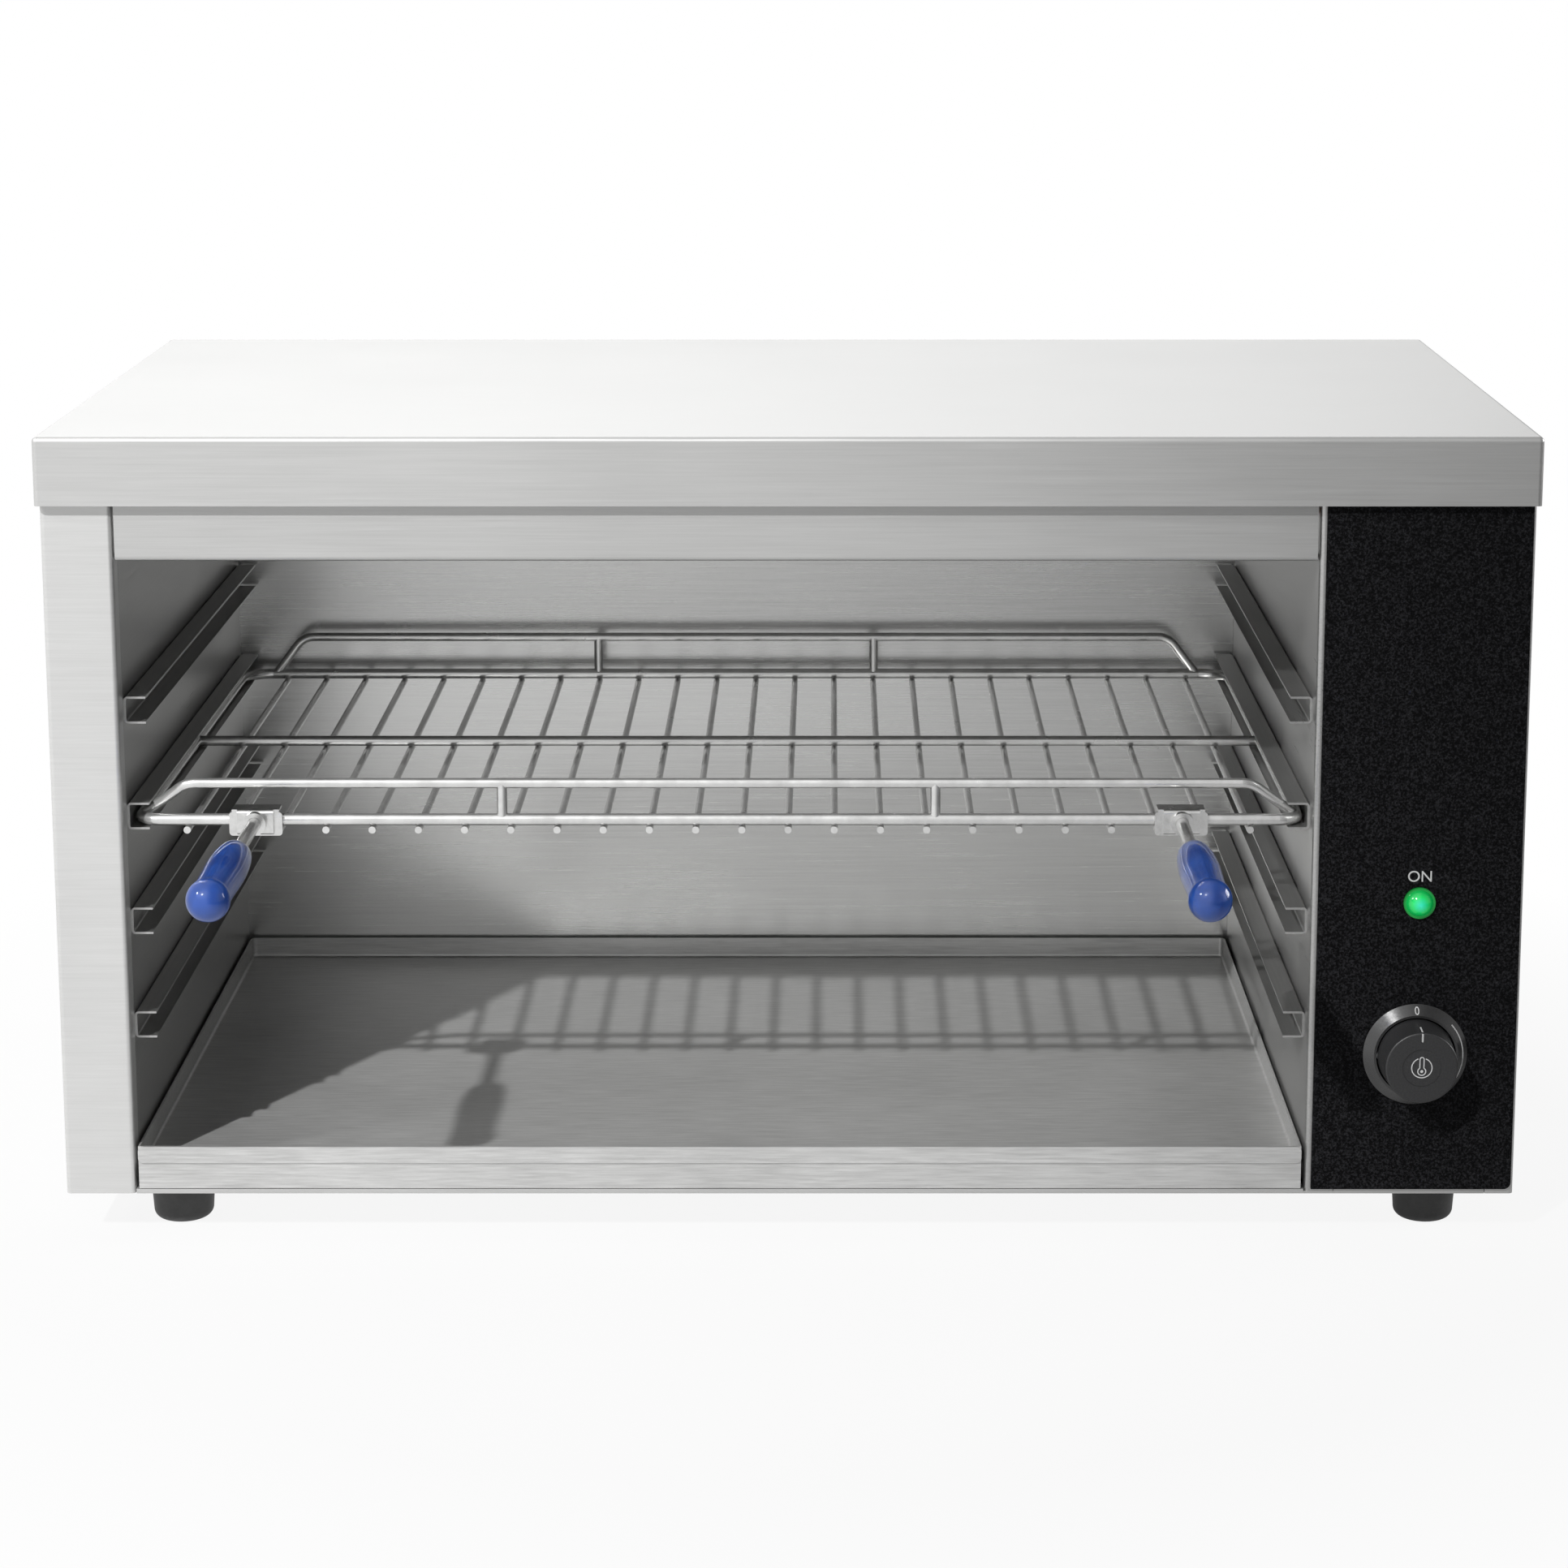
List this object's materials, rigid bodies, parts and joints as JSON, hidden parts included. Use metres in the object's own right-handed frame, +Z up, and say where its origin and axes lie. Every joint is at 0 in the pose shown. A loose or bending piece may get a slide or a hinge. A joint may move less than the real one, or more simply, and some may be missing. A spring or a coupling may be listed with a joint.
{
  "type": "salamander grill",
  "caption": "Countertop electric salamander grill: open-fronted steel casing with a sliding wire rack, drip tray, overhead elements and a control knob.",
  "frame": {"origin": "middle of the bounding box in X and Y, on the surface that the feet stand on", "axes": "+X to the object's right as seen from its front, +Y to its back, +Z up; the open front faces -Y"},
  "size_m": [0.61, 0.4596, 0.3414],
  "materials": {
    "casing_steel": "brushed stainless steel",
    "inner_steel": "stainless sheet inside the cavity",
    "wire_steel": "polished wire",
    "element_metal": "oxidised heater sheath",
    "panel_black": "speckled black coating",
    "black_plastic": "moulded black plastic",
    "lens_green": "translucent green lens",
    "grip_blue": "glossy blue plastic",
    "foot_rubber": "black rubber",
    "ceramic": "pale ceramic",
    "brass_fittings": "turned brass",
    "lead_sheath": "silicone-sheathed lead",
    "copper_tube": "drawn copper tube",
    "zinc_steel": "zinc-plated steel"
  },
  "bodies": {
    "casing": {"top_lid": "casing_steel", "left_side_panel": "casing_steel", "right_side_panel": "casing_steel", "cavity_left_wall": "inner_steel", "partition_wall": "casing_steel", "base_plate": "casing_steel", "back_panel": "casing_steel", "front_valance": "casing_steel", "heat_reflector": "inner_steel", "heating_element_front": "element_metal", "heating_element_rear": "element_metal", "element_hangers": "inner_steel", "element_bushings": "brass_fittings", "element_nuts": "brass_fittings", "element_insulators": "ceramic", "tray_guide_left": "inner_steel", "tray_guide_right": "inner_steel", "control_panel": "panel_black", "lamp_lens": "lens_green", "lamp_body": "black_plastic", "knob_bezel": "black_plastic", "thermostat_body": "black_plastic", "thermostat_screws": "zinc_steel", "sensor_capillary": "copper_tube", "sensor_bulb": "copper_tube", "bulb_clips": "inner_steel", "terminal_block": "ceramic", "inner_wiring": "lead_sheath", "cable_gland": "black_plastic", "gland_nut": "black_plastic", "foot_screws": "zinc_steel", "back_panel_screws": "zinc_steel", "lid_screws": "zinc_steel", "runner_left_1": "inner_steel", "runner_right_1": "inner_steel", "runner_left_2": "inner_steel", "runner_right_2": "inner_steel", "runner_left_3": "inner_steel", "runner_right_3": "inner_steel", "runner_left_4": "inner_steel", "runner_right_4": "inner_steel", "foot_front_left": "foot_rubber", "foot_front_right": "foot_rubber", "foot_rear_left": "foot_rubber", "foot_rear_right": "foot_rubber"},
    "rack": {"rack_frame": "wire_steel", "rack_centre_bar": "wire_steel", "rack_cross_wires": "wire_steel", "rack_front_guard": "wire_steel", "rack_rear_guard": "wire_steel", "handle_bracket_left": "wire_steel", "handle_rod_left": "wire_steel", "handle_grip_left": "grip_blue", "handle_bracket_right": "wire_steel", "handle_rod_right": "wire_steel", "handle_grip_right": "grip_blue"},
    "tray": {"drip_tray": "casing_steel"},
    "knob": {"knob": "black_plastic", "thermostat_shaft": "zinc_steel"}
  },
  "joints": [
    {"name": "rack_slide", "type": "slide", "parent": "casing", "child": "rack", "axis": [0, -1, 0], "range_m": [0, 0.33]},
    {"name": "tray_slide", "type": "slide", "parent": "casing", "child": "tray", "axis": [0, -1, 0], "range_m": [0, 0.33]},
    {"name": "knob_turn", "type": "hinge", "parent": "casing", "child": "knob", "pos_m": [0.2606, -0.11265, 0.0816], "axis": [0, 1, 0], "range_deg": [0, 210]}
  ]
}
